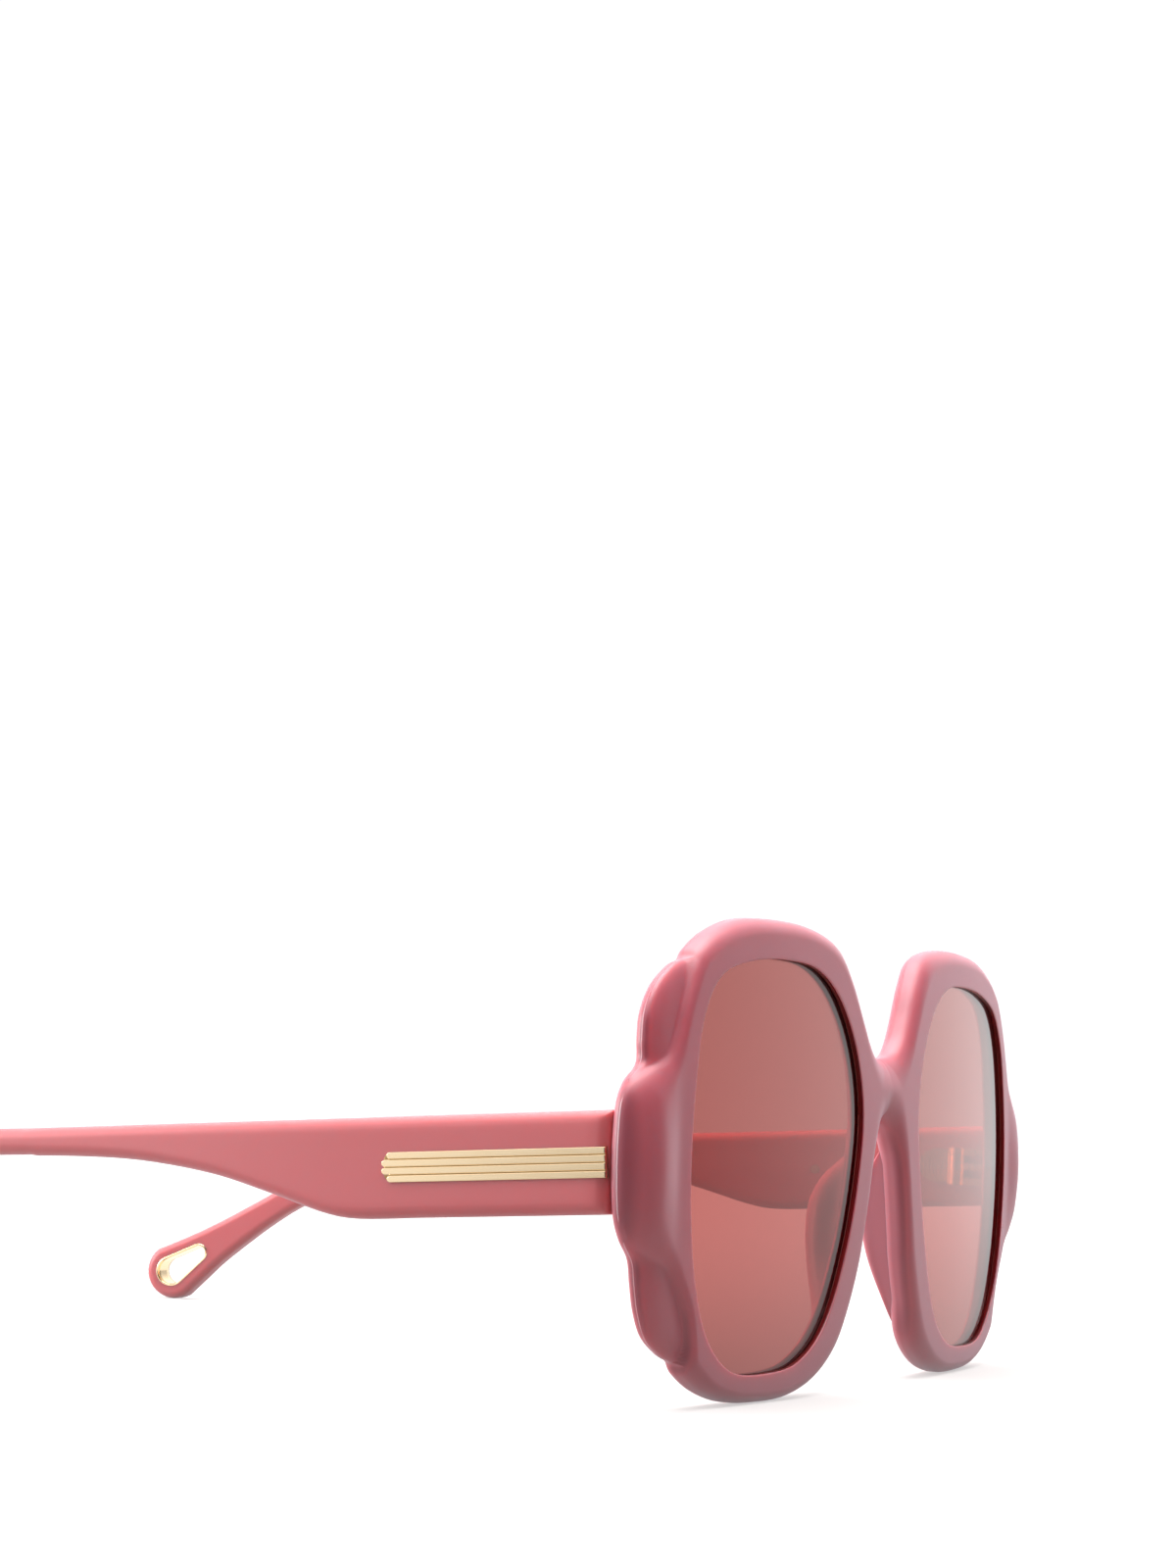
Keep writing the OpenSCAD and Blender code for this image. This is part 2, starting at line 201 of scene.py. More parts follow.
def makeCamera():
    turn, tilt, roll = (radians(camera[key]) for key in ("turn", "tilt", "roll"))
    back = Vector((sin(turn) * cos(tilt), -cos(turn) * cos(tilt), sin(tilt)))
    right = (-back).cross(Vector((0, 0, 1))).normalized()
    up = right.cross(-back)
    rolledRight = cos(roll) * right + sin(roll) * up
    rolledUp = cos(roll) * up - sin(roll) * right
    data = bpy.data.cameras.new("camera")
    data.lens = camera["focalLength"]
    data.sensor_width = 36
    data.clip_start = 0.01
    eye = bpy.data.objects.new("camera", data)
    bpy.context.scene.collection.objects.link(eye)
    x, y, z = camera["place"]
    matrix = Matrix((rolledRight, rolledUp, back)).transposed().to_4x4()
    matrix.translation = Vector((x, y + faceY, z)) * mm
    eye.matrix_world = matrix
    bpy.context.scene.camera = eye


makeCamera()
print("camera placed")


studio = {
    "floorSize": 8.0,
    "floorGlow": 0.54,      # painted glow of the sheet near the middle, so its shadows stay faint
    "farGlow": 0.78,
    "glowFrom": 0.2,        # m from the middle of the floor, where the glow begins to rise
    "glowTo": 1.6,
    "floorLit": "#A9A5A3",
    "floorPatch": "#AEAAA8",
    "floorBounce": "#7E7875",
    "mirrorShift": (0.5, -0.2, 0.0),   # m, added to a place on the floor to find its side of the room
    "shadeTurn": 27,        # degrees from straight in front towards the wearer's right, where it is dim
    "shadeFrom": -0.5,
    "shadeTo": 0.55,
    "dimSide": 0.05,
    "brightSide": 1.48,
    "skyTop": 1.7,
    "skyTopFrom": 0.62,
    "whiteBackdrop": 1.05,
}


def roomSide(tree, direction):
    # how bright the room is in a direction: dim in front of the glasses, bright on both sides of that
    turn = radians(studio["shadeTurn"])
    facing = addNode(tree, "ShaderNodeVectorMath", {"operation": "DOT_PRODUCT"},
                     {0: direction, 1: (-sin(turn), -cos(turn), 0.0)})
    return addNode(tree, "ShaderNodeMapRange", {"interpolation_type": "SMOOTHSTEP"},
                   {"Value": facing.outputs["Value"],
                    "From Min": studio["shadeFrom"], "From Max": studio["shadeTo"],
                    "To Min": studio["brightSide"], "To Max": studio["dimSide"]}).outputs["Result"]


def makeFloor():
    # a white sheet with a painted glow that rises away from the middle, so its shadows stay faint. Diffuse
    # rays meet a duller sheet that doesn't glow, and mirrored rays meet a painted reflection: the brightness
    # of the room on that side
    material, tree = newMaterial("white floor sheet, painted glow")
    noise = addNode(tree, "ShaderNodeTexNoise", None, {"Scale": 40.0, "Detail": 3.0})
    tone = addNode(tree, "ShaderNodeValToRGB", None, {"Fac": noise.outputs["Fac"]})
    tone.color_ramp.elements[0].color = linearColour(studio["floorLit"])
    tone.color_ramp.elements[1].color = linearColour(studio["floorPatch"])
    place = addNode(tree, "ShaderNodeTexCoord")
    away = addNode(tree, "ShaderNodeVectorMath", {"operation": "LENGTH"}, {0: place.outputs["Object"]})
    glow = addNode(tree, "ShaderNodeMapRange", {"interpolation_type": "SMOOTHSTEP"},
                   {"Value": away.outputs["Value"],
                    "From Min": studio["glowFrom"], "From Max": studio["glowTo"],
                    "To Min": studio["floorGlow"], "To Max": studio["farGlow"]})
    sheet = addNode(tree, "ShaderNodeBsdfPrincipled", None, {
        "Base Color": tone.outputs["Color"], "Roughness": 0.9, "Specular IOR Level": 0.1,
        "Emission Color": (1, 1, 1, 1), "Emission Strength": glow.outputs["Result"]})
    dull = addNode(tree, "ShaderNodeBsdfDiffuse", None, {"Color": linearColour(studio["floorBounce"])})
    rays = addNode(tree, "ShaderNodeLightPath")
    shifted = addNode(tree, "ShaderNodeVectorMath", {"operation": "ADD"},
                      {0: place.outputs["Object"], 1: studio["mirrorShift"]})
    way = addNode(tree, "ShaderNodeVectorMath", {"operation": "NORMALIZE"}, {0: shifted.outputs["Vector"]})
    side = roomSide(tree, way.outputs["Vector"])
    mirrored = addNode(tree, "ShaderNodeEmission", None, {"Strength": side})
    lit = addNode(tree, "ShaderNodeMixShader", None,
                  {0: rays.outputs["Is Diffuse Ray"], 1: sheet.outputs[0], 2: dull.outputs[0]})
    both = addNode(tree, "ShaderNodeMixShader", None,
                   {0: rays.outputs["Is Glossy Ray"], 1: lit.outputs[0], 2: mirrored.outputs[0]})
    finishMaterial(tree, both)
    half = studio["floorSize"] / 2
    mesh = bpy.data.meshes.new("floor")
    corners = [(-half, -half, 0), (half, -half, 0), (half, half, 0), (-half, half, 0)]
    mesh.from_pydata(corners, [], [(0, 1, 2, 3)])
    mesh.materials.append(material)
    floor = bpy.data.objects.new("floor", mesh)
    bpy.context.scene.collection.objects.link(floor)
    floor.location.z = cadBox[0][2]


def makeSky():
    # a room that is dim in front of the glasses, so that rounded edges shade off. Rays from the
    # camera, and those that pass through a lens, see plain white instead
    world = bpy.data.worlds.new("studio")
    bpy.context.scene.world = world
    world.use_nodes = True
    tree = world.node_tree
    tree.nodes.clear()
    place = addNode(tree, "ShaderNodeTexCoord")
    side = roomSide(tree, place.outputs["Generated"])
    height = addNode(tree, "ShaderNodeSeparateXYZ", None, {0: place.outputs["Generated"]})
    top = addNode(tree, "ShaderNodeMapRange", {"interpolation_type": "SMOOTHSTEP"},
                  {"Value": height.outputs["Z"], "From Min": studio["skyTopFrom"], "From Max": 1.0})
    both = addNode(tree, "ShaderNodeMix", {"data_type": "FLOAT"},
                   {0: top.outputs["Result"], 2: side, 3: studio["skyTop"]})
    room = addNode(tree, "ShaderNodeBackground", None,
                   {"Color": (1, 1, 1, 1), "Strength": both.outputs[0]})
    white = addNode(tree, "ShaderNodeBackground", None,
                    {"Color": (1, 1, 1, 1), "Strength": studio["whiteBackdrop"]})
    rays = addNode(tree, "ShaderNodeLightPath")
    clear = addNode(tree, "ShaderNodeMath", {"operation": "MAXIMUM"},
                    {0: rays.outputs["Is Camera Ray"], 1: rays.outputs["Is Transmission Ray"]})
    seen = addNode(tree, "ShaderNodeMixShader", None,
                   {0: clear.outputs[0], 1: room.outputs[0], 2: white.outputs[0]})
    output = addNode(tree, "ShaderNodeOutputWorld")
    tree.links.new(seen.outputs[0], output.inputs["Surface"])


lamps = {
    "overhead softbox": {"place": (0.0, 0.0, 1.1), "target": (0, 0, 0), "size": (1.1, 0.9),
                         "watts": 13, "glossy": True},
    "left back softbox": {"place": (-0.2, 0.36, 0.13), "target": (0, 0.14, 0.02), "size": (0.2, 0.2),
                          "watts": 1.05, "glossy": True},
    "right softbox": {"place": (0.55, 0.1, 0.3), "target": (0.05, -0.04, 0.03), "size": (0.4, 0.5),
                      "watts": 0.5, "glossy": False},
}


def addLamp(name, place, target, size, watts, glossy):
    data = bpy.data.lights.new(name, "AREA")
    data.shape = "RECTANGLE"
    data.size, data.size_y = size
    data.energy = watts
    lamp = bpy.data.objects.new(name, data)
    lamp.location = place
    lamp.rotation_euler = (Vector(target) - Vector(place)).to_track_quat("-Z", "Y").to_euler()
    lamp.visible_camera = False
    lamp.visible_transmission = False
    lamp.visible_glossy = glossy
    bpy.context.scene.collection.objects.link(lamp)


makeFloor()
makeSky()
for name, settings in lamps.items():
    addLamp(name, **settings)
bpy.context.scene.view_settings.view_transform = "Standard"
print("studio lit")


acetate = {
    # sideShade is painted shade: a darker colour for surfaces that face left or right
    "front": {"lit": "#DC6E7C", "deep": "#D86A79", "sideShade": "#AC5060", "softness": 2.2},
    "temple": {"lit": "#E07276", "deep": "#DB6D72", "sideShade": "#D9696F", "softness": 1.3},
    "cloudSize": 14.0,      # mm across one soft cloud of colour
    "grainSize": 0.22,      # mm, the tumbled skin, drawn coarser than real grain so that it shows
    "sideShadeFrom": 0.6,       # sideways share of a surface's direction where the painted side shade begins
    "roughness": 0.42,
    "roughnessSpread": 0.05,
    # the wall's dark reds are partly painted shade, as the wall round the lens lies in shadow
    "wallLit": "#7A0612",
    "wallDeep": "#5E040C",
    "wallMarkSize": 3.0,
}


def tumbledAcetate(name, lit, deep, sideShade, softness):
    # cellulose acetate, tumbled and left matt: a soft milky glow, cloudy colour and no hard highlight
    material, tree = newMaterial(name)
    coordinates = addNode(tree, "ShaderNodeTexCoord")
    place = coordinates.outputs["Object"]
    cloud = addNode(tree, "ShaderNodeTexNoise", None, {
        "Vector": place, "Scale": 1 / (acetate["cloudSize"] * mm), "Detail": 4.0, "Roughness": 0.55})
    colour = addNode(tree, "ShaderNodeValToRGB", None, {"Fac": cloud.outputs["Fac"]})
    colour.color_ramp.elements[0].position = 0.3
    colour.color_ramp.elements[1].position = 0.7
    colour.color_ramp.elements[0].color = linearColour(deep)
    colour.color_ramp.elements[1].color = linearColour(lit)
    # painted shade: surfaces that face left or right get a darker wine colour, standing in for the shade on
    # the sides
    turned = addNode(tree, "ShaderNodeSeparateXYZ", None, {0: coordinates.outputs["Normal"]})
    across = addNode(tree, "ShaderNodeMath", {"operation": "ABSOLUTE"}, {0: turned.outputs["X"]})
    cut = addNode(tree, "ShaderNodeMapRange", {"interpolation_type": "SMOOTHSTEP"},
                  {"Value": across.outputs[0], "From Min": acetate["sideShadeFrom"], "From Max": 1.0})
    body = addNode(tree, "ShaderNodeMix", {"data_type": "RGBA"},
                   {0: cut.outputs["Result"], 6: colour.outputs["Color"], 7: linearColour(sideShade)})
    skin = addNode(tree, "ShaderNodeTexNoise", None,
                   {"Vector": place, "Scale": 1 / (acetate["grainSize"] * mm), "Detail": 3.0})
    roughness, spread = acetate["roughness"], acetate["roughnessSpread"]
    rough = addNode(tree, "ShaderNodeMapRange", None, {
        "Value": skin.outputs["Fac"], "To Min": roughness - spread, "To Max": roughness + spread})
    bump = addNode(tree, "ShaderNodeBump", None,
                   {"Height": skin.outputs["Fac"], "Strength": 0.06, "Distance": 0.02 * mm})
    plastic = addNode(tree, "ShaderNodeBsdfPrincipled", {"subsurface_method": "RANDOM_WALK"}, {
        "Base Color": body.outputs[2],
        "Roughness": rough.outputs["Result"],
        "Normal": bump.outputs["Normal"],
        "IOR": 1.48,
        "Specular IOR Level": 1.0,
        "Subsurface Weight": 0.9,
        "Subsurface Radius": (1.0, 0.3, 0.28),
        "Subsurface Scale": softness * mm,
        "Sheen Weight": 0.35,
        "Sheen Roughness": 0.4,
        "Sheen Tint": (0.95, 0.82, 1.0, 1.0),
    })
    finishMaterial(tree, plastic)
    return material


def polishedWall():
    # the cut inner wall of the rim, polished. Its deep wine red is partly the clear acetate seen deep and
    # partly painted shade for the shadowed wall round the lens
    material, tree = newMaterial("polished acetate wall")
    place = addNode(tree, "ShaderNodeTexCoord").outputs["Object"]
    marks = addNode(tree, "ShaderNodeTexNoise", None,
                    {"Vector": place, "Scale": 1 / (acetate["wallMarkSize"] * mm), "Detail": 2.0})
    colour = addNode(tree, "ShaderNodeValToRGB", None, {"Fac": marks.outputs["Fac"]})
    colour.color_ramp.elements[0].color = linearColour(acetate["wallDeep"])
    colour.color_ramp.elements[1].color = linearColour(acetate["wallLit"])
    wall = addNode(tree, "ShaderNodeBsdfPrincipled", None,
                   {"Base Color": colour.outputs["Color"], "Roughness": 0.25, "IOR": 1.48})
    finishMaterial(tree, wall)
    return material


tint = {
    "lit": "#AC5B55",
    "deep": "#A85852",
    "flowSize": 30.0,       # mm across one slow change of colour
    "ior": 1.5,
}


def tintedNylon():
    # solid-tinted nylon, cast and polished: clear rose brown with a thin reflection
    material, tree = newMaterial("tinted nylon lens")
    place = addNode(tree, "ShaderNodeTexCoord").outputs["Object"]
    flow = addNode(tree, "ShaderNodeTexNoise", None,
                   {"Vector": place, "Scale": 1 / (tint["flowSize"] * mm), "Detail": 1.0})
    colour = addNode(tree, "ShaderNodeValToRGB", None, {"Fac": flow.outputs["Fac"]})
    colour.color_ramp.elements[0].color = linearColour(tint["deep"])
    colour.color_ramp.elements[1].color = linearColour(tint["lit"])
    bump = addNode(tree, "ShaderNodeBump", None,
                   {"Height": flow.outputs["Fac"], "Strength": 0.02, "Distance": 0.05 * mm})
    lens = addNode(tree, "ShaderNodeBsdfPrincipled", None, {
        "Base Color": colour.outputs["Color"],
        "Normal": bump.outputs["Normal"],
        "Roughness": 0.0,
        "IOR": tint["ior"],
        "Transmission Weight": 1.0,
    })
    finishMaterial(tree, lens)
    return material


def metal(name, light, dark, roughness, scratch, stretch):
    # plated or drawn metal: the long faint scratches of its finish catch the light
    material, tree = newMaterial(name)
    place = addNode(tree, "ShaderNodeTexCoord").outputs["Object"]
    lie = addNode(tree, "ShaderNodeMapping", None, {"Vector": place, "Scale": stretch})
    marks = addNode(tree, "ShaderNodeTexNoise", None,
                    {"Vector": lie.outputs["Vector"], "Scale": 1 / (scratch * mm), "Detail": 4.0})
    colour = addNode(tree, "ShaderNodeValToRGB", None, {"Fac": marks.outputs["Fac"]})
    colour.color_ramp.elements[0].color = linearColour(dark)
    colour.color_ramp.elements[1].color = linearColour(light)
    rough = addNode(tree, "ShaderNodeMapRange", None,
                    {"Value": marks.outputs["Fac"], "To Min": roughness * 0.7, "To Max": roughness * 1.4})
    bump = addNode(tree, "ShaderNodeBump", None,
                   {"Height": marks.outputs["Fac"], "Strength": 0.08, "Distance": 0.01 * mm})
    plate = addNode(tree, "ShaderNodeBsdfPrincipled", None, {
        "Base Color": colour.outputs["Color"],
        "Metallic": 1.0,
        "Roughness": rough.outputs["Result"],
        "Normal": bump.outputs["Normal"],
    })
    finishMaterial(tree, plate)
    return material


# scratch is the size of the scratches in mm, and stretch draws them out along one axis
metals = {
    "pale gold plating, polished": {"light": "#FDE6C2", "dark": "#F6D9AE", "roughness": 0.2,
                                    "scratch": 0.25, "stretch": (1, 0.05, 1)},
    # a darker copy of the plating: painted shade for the floors of the plaque's grooves
    "pale gold plating, painted shade": {"light": "#B8986A", "dark": "#9E7D50", "roughness": 0.4,
                                    "scratch": 0.25, "stretch": (1, 0.05, 1)},
    "gold-plated nickel silver, milled": {"light": "#F0DCA6", "dark": "#DCC07F", "roughness": 0.28,
                                          "scratch": 0.3, "stretch": (1, 1, 0.1)},
    "stainless steel, turned": {"light": "#CFD0D2", "dark": "#A9ABAE", "roughness": 0.3,
                                "scratch": 0.2, "stretch": (1, 1, 0.1)},
    "steel core wire, drawn": {"light": "#C4C5C8", "dark": "#9A9CA0", "roughness": 0.35,
                               "scratch": 0.2, "stretch": (1, 0.04, 1)},
}

frontAcetate = tumbledAcetate("matt tumbled acetate, front", **acetate["front"])
templeAcetate = tumbledAcetate("matt tumbled acetate, temple", **acetate["temple"])
wallAcetate = polishedWall()
lensNylon = tintedNylon()
plaqueGold, grooveShadeGold, hingeGold, screwSteel, wireSteel = (
    metal(name, **settings) for name, settings in metals.items())
print("materials made")


front = {
    "lensWidth": 51.4,
    "lensHeight": 53.0,
    "lensGap": 23.0,
    "recess": 0.7,          # depth of the lens behind the rim's face
    "lensThickness": 1.8,
    "grooveDepth": 0.6,
    "sweepRadius": 534.0,   # curve of the face from side to side
    "riseRadius": 459.0,    # curve of the face from top to bottom
    "lean": 0.014,          # how far the top of the face leans back
    "backRadius": 555.5,
    "backCentre": 560.0,
    "topRim": 5.2,
    "baseRim": 3.7,
    "sideRim": 12.6,
    "lobeRim": 7.4,
    "bridgeRise": 14.8,
    "bridgeHeight": 8.3,
    "lobeDrop": 1.2,        # how far the shoulder lobes lie behind the ring
    "lobeRound": 4.2,
    "lobeBlend": 0.16,      # softness of the crease between the ring and the shoulder lobes
    "sideBulge": 0.8,
    "backRound": 1.6,
    "innerRound": 0.14,
    "innerRoundBack": 0.4,
    "lipMiddle": -0.25,     # how far the back stands out above and below the middle of the lens
    "lipSlope": 0.85,       # how much more it does at the temple side, and less at the nose side
    "lipWidth": 2.6,
    "leastThickness": 0.4,
    "noseSlant": 0.4,
    "middleZ": 30,          # height from which the rise of the face is measured
    "planSteps": 46,
    "seamSteps": 26,
}
noseX = front["lensGap"] / 2
halfWidth = front["lensWidth"] / 2
halfHeight = front["lensHeight"] / 2
lensCentre = np.array([noseX + halfWidth, front["baseRim"] + halfHeight])
topZ = lensCentre[1] + halfHeight + front["topRim"]
bridgeZ = lensCentre[1] + front["bridgeRise"]
archZ = bridgeZ - front["bridgeHeight"]
edgeX = noseX + front["lensWidth"]

lensShape = [(1, 0.1), (0.965, 0.405), (0.887, 0.687), (0.712, 0.883), (0.4, 0.97), (0, 1), (-0.397, 0.974),
             (-0.689, 0.838), (-0.903, 0.593), (-1, 0.29), (-0.957, -0.028), (-0.817, -0.424),
             (-0.591, -0.778), (-0.28, -0.958), (0.109, -1), (0.498, -0.97), (0.77, -0.8),
             (0.926, -0.518), (0.992, -0.198)]
opening = smoothLine([lensCentre + (x * halfWidth, z * halfHeight) for x, z in lensShape], 10, closed=True)


def sidePoint(out, share):
    return (edgeX + out, lensCentre[1] + share * halfHeight)


foot = [(0, archZ), (noseX - 8.5, archZ - 1.6), (noseX - 6.4, archZ - 5.7), (noseX - 4.9, archZ - 10.7),
        (noseX - 3.5, archZ - 15.7), (noseX - 2.2, lensCentre[1] - 0.51 * halfHeight),
        (noseX + 0.8, lensCentre[1] - 0.73 * halfHeight), (noseX + 5, lensCentre[1] - 0.93 * halfHeight),
        (noseX + 11.5, 2), (lensCentre[0] - 6, 0.25), (lensCentre[0] + 2.8, 0), (lensCentre[0] + 10.3, 0.4),
        (lensCentre[0] + 16.8, 1.9), sidePoint(-4.3, -0.989), sidePoint(-2.6, -0.928)]
lobeRim, sideRim = front["lobeRim"], front["sideRim"]
middleLobe = [sidePoint(sideRim - 2.2, -0.36), sidePoint(sideRim - 0.6, -0.235), sidePoint(sideRim, 0.01),
              sidePoint(sideRim - 0.5, 0.254), sidePoint(sideRim - 2.2, 0.375)]
lowerLobe = [sidePoint(0.4, -0.887), sidePoint(3.9, -0.808), sidePoint(6.1, -0.687),
             sidePoint(lobeRim - 0.1, -0.556), sidePoint(lobeRim + 0.7, -0.454)]
upperLobe = [sidePoint(lobeRim + 0.2, 0.458), sidePoint(lobeRim, 0.556), sidePoint(lobeRim - 0.6, 0.687),
             sidePoint(4.4, 0.82), sidePoint(0.6, 0.917)]
# edge of the raised ring where it passes in front of the two shoulder lobes
lowerRing = [sidePoint(-2.3, -0.83), sidePoint(-0.9, -0.69), sidePoint(1.3, -0.57), sidePoint(3.6, -0.49),
             sidePoint(lobeRim - 0.4, -0.435)]
upperRing = [sidePoint(lobeRim - 0.6, 0.45), sidePoint(4.6, 0.505), sidePoint(3.0, 0.6), sidePoint(1.2, 0.74),
             sidePoint(-0.9, 0.88)]
brow = [sidePoint(-2.3, 0.955), (lensCentre[0] + 21.8, topZ - 4.9), (lensCentre[0] + 17.3, topZ - 2.6),
        (lensCentre[0] + 9.8, topZ - 0.6), (lensCentre[0] - 1.2, topZ), (lensCentre[0] - 11.2, topZ - 0.4),
        (noseX + 6.5, topZ - 2.1), (noseX + 2.1, topZ - 5.9), (noseX - 1.5, bridgeZ + 6),
        (noseX - 4.3, bridgeZ + 2.6), (noseX - 7.5, bridgeZ + 0.6), (0, bridgeZ)]
rimEdge = smoothLine(foot + lowerLobe + middleLobe + upperLobe + brow, 8)
ringEdge = smoothLine(foot + lowerRing + middleLobe + upperRing + brow, 8)


def bothHalves(line):
    other = line[::-1] * [-1, 1]
    return np.concatenate([line, other[1:]])


rimLoop, ringLoop = bothHalves(rimEdge), bothHalves(ringEdge)
openingLoop = np.concatenate([opening, opening[:1]])


def faceDepth(x, z):
    rise = z - front["middleZ"]
    curve = x ** 2 / (2 * front["sweepRadius"]) + rise ** 2 / (2 * front["riseRadius"])
    return curve + front["lean"] * rise + 0.05


def backDepth(x, z):
    rise = z - front["middleZ"]
    back = front["backCentre"] - np.sqrt(front["backRadius"] ** 2 - x ** 2)
    return back + rise ** 2 / (2 * front["riseRadius"]) + front["lean"] * rise


def frontSurfaces(points):
    # depth of the front and the back face at points in plan, with their soft edges and the lobes
    x, z = points[:, 0], points[:, 1]
    toLens = distanceTo(points, openingLoop)
    toRim = distanceTo(points, rimLoop)
    toRing = distanceTo(points, ringLoop)
    outside = ~isInside(points, ringLoop) & (toRing > 1e-3)
    toRing = np.where(outside, 0, toRing)
    width = np.clip(0.4 * (toLens + toRing), 1.5, 4.8)
    depth = 1.9 + 0.26 * (width - 1.5)
    ring = rounding(toRing, width, depth)
    ring = ring + np.where(outside, 4 * distanceTo(points, ringLoop), 0)
    lobeFall = depth.clip(0, 2.1) - front["lobeDrop"] + 0.5
    lobe = front["lobeDrop"] + rounding(toRim, front["lobeRound"], lobeFall)
    blend = front["lobeBlend"]
    drop = -blend * np.log(np.exp(-ring / blend) + np.exp(-lobe / blend))
    bulge = front["sideBulge"] * ease(toLens, 2, 8) * ease(x, 62, 68)
    bulge = bulge * np.exp(-((z - front["middleZ"]) / 9) ** 2)
    face = faceDepth(x, z) + drop - bulge * (1 - rounding(toRim, 5, 1))
    face = face + rounding(toLens, front["innerRound"], front["innerRound"])
    share = np.clip((x - lensCentre[0]) / halfWidth, -1, 1)
    lip = (front["lipMiddle"] + front["lipSlope"] * share) * (1 - ease(toLens, 0, front["lipWidth"]))
    back = backDepth(x, z) + lip - rounding(toRim, front["backRound"], front["backRound"])
    back = back - rounding(toLens, front["innerRoundBack"], front["innerRoundBack"])
    return face, np.maximum(back, face + front["leastThickness"])


def ringSolid(inner, outer, seam, surfaces, steps, depthAxis):
    # a plate between an inner and an outer loop: face, side, back and inner wall. Its side is left out
    # along the seam, where it joins another part
    count = len(inner)
    span = outer - inner
    length = np.linalg.norm(span, axis=1)
    shares = np.sin(pi / 2 * np.linspace(0, 1, steps + 1))
    nearInner = np.array([0.0, 0.04, 0.12, 0.24, 0.36])
    rows = [inner + span * (np.minimum(step, length * 0.1) / length)[:, None] for step in nearInner]
    start = np.minimum(nearInner[-1], length * 0.1) / length
    rows += [inner + span * (start + (1 - start) * share)[:, None] for share in shares[1:]]
    plan = np.array(rows)
    face, back = surfaces(plan.reshape(-1, 2))
    face, back = face.reshape(plan.shape[:2]), back.reshape(plan.shape[:2])
    loops = [(plan[i], face[i]) for i in range(len(plan))]
    sideRow = len(loops) - 1
    # at the seam the middle of the side falls on the face, so the edges there match the other part's
    middle = np.where(seam, 0.0, 0.5)
    loops += [(plan[-1], face[-1] + (back[-1] - face[-1]) * middle)]
    loops += [(plan[i], back[i]) for i in range(len(plan) - 1, -1, -1)]
    points = np.array([depthAxis(place, depth) for place, depth in loops])   # row, column, xyz
    total = len(points)
    faces = []
    for r in range(total):
        for c in range(count):
            nextC = (c + 1) % count
            if sideRow <= r < sideRow + 2 and seam[c] and seam[nextC]:
                continue
            n = (r + 1) % total
            faces.append([r * count + c, r * count + nextC, n * count + nextC, n * count + c])
    return points.reshape(-1, 3), faces


def makeFront():
    edge = rimEdge
    seamSteps = front["seamSteps"]
    down = bridgeZ + (archZ - bridgeZ) * (1 - np.cos(pi * np.arange(1, seamSteps) / seamSteps)) / 2
    outer = np.concatenate([edge, np.stack([np.zeros(len(down)), down], 1)])
    seam = np.concatenate([np.abs(edge[:, 0]) < 1e-9, np.ones(len(down), bool)])
    rays = outer - lensCentre
    rays = rays / np.linalg.norm(rays, axis=1)[:, None]
    inner = rayLoop(lensCentre, rays, opening)
    groove = front["grooveDepth"]
    lensFront, lensBack = front["recess"], front["recess"] + front["lensThickness"]
    centreDepth = faceDepth(inner[:, 0], inner[:, 1])

    def solidPoint(place, depth):
        # the nose side leans away from the nose as it goes back
        x, z = place[:, 0], place[:, 1]
        toLens, toRim = distanceTo(place, openingLoop), distanceTo(place, rimLoop)
        share = toLens / np.maximum(toLens + toRim, 1e-6)
        reach = ease(z, 4, 12) * (1 - ease(z, 30, archZ)) * (1 - ease(x, 12, 20))
        lean = front["noseSlant"] * (depth - faceDepth(x, z)).clip(0) * reach * share
        return np.stack([x + lean, depth, z], 1)

    points, faces = ringSolid(inner, outer, seam, frontSurfaces, front["planSteps"], solidPoint)
    # the inner wall with the groove that holds the lens
    count = len(inner)
    rowTotal = len(points) // count
    lastBack = (rowTotal - 1) * count
    faces = [f for f in faces if not (min(f) < count and max(f) >= lastBack)]
    pick = [0] * len(faces)
    unit = (inner - lensCentre) / np.linalg.norm(inner - lensCentre, axis=1)[:, None]
    wall = []
    for inset, depth in ((0, lensBack), (groove, lensBack), (groove, lensFront), (0, lensFront)):
        place = inner + unit * inset
        wall.append(np.stack([place[:, 0], centreDepth + depth, place[:, 1]], 1))
    base = len(points)
    points = np.concatenate([points] + wall)
    rowsOfWall = [lastBack] + [base + i * count for i in range(4)] + [0]
    for a, b in zip(rowsOfWall[:-1], rowsOfWall[1:]):
        for c in range(count):
            d = (c + 1) % count
            faces.append([a + c, a + d, b + d, b + c])
            pick.append(1)
    points[:, 2] = np.clip(points[:, 2], 0, topZ)
    other = points * [-1, 1, 1]
    faces = faces + [[i + len(points) for i in face[::-1]] for face in faces]
    makePiece("frontRims", np.concatenate([points, other]), faces, "front",
              [frontAcetate, wallAcetate], ["front_frame"], pick=pick + pick)


makeFront()
print("front made")


lens = {
    "rings": 26,
    "tuck": 0.5,            # how far the lens goes into the groove
    "clearance": 0.02,      # between each face of the lens and its groove
}


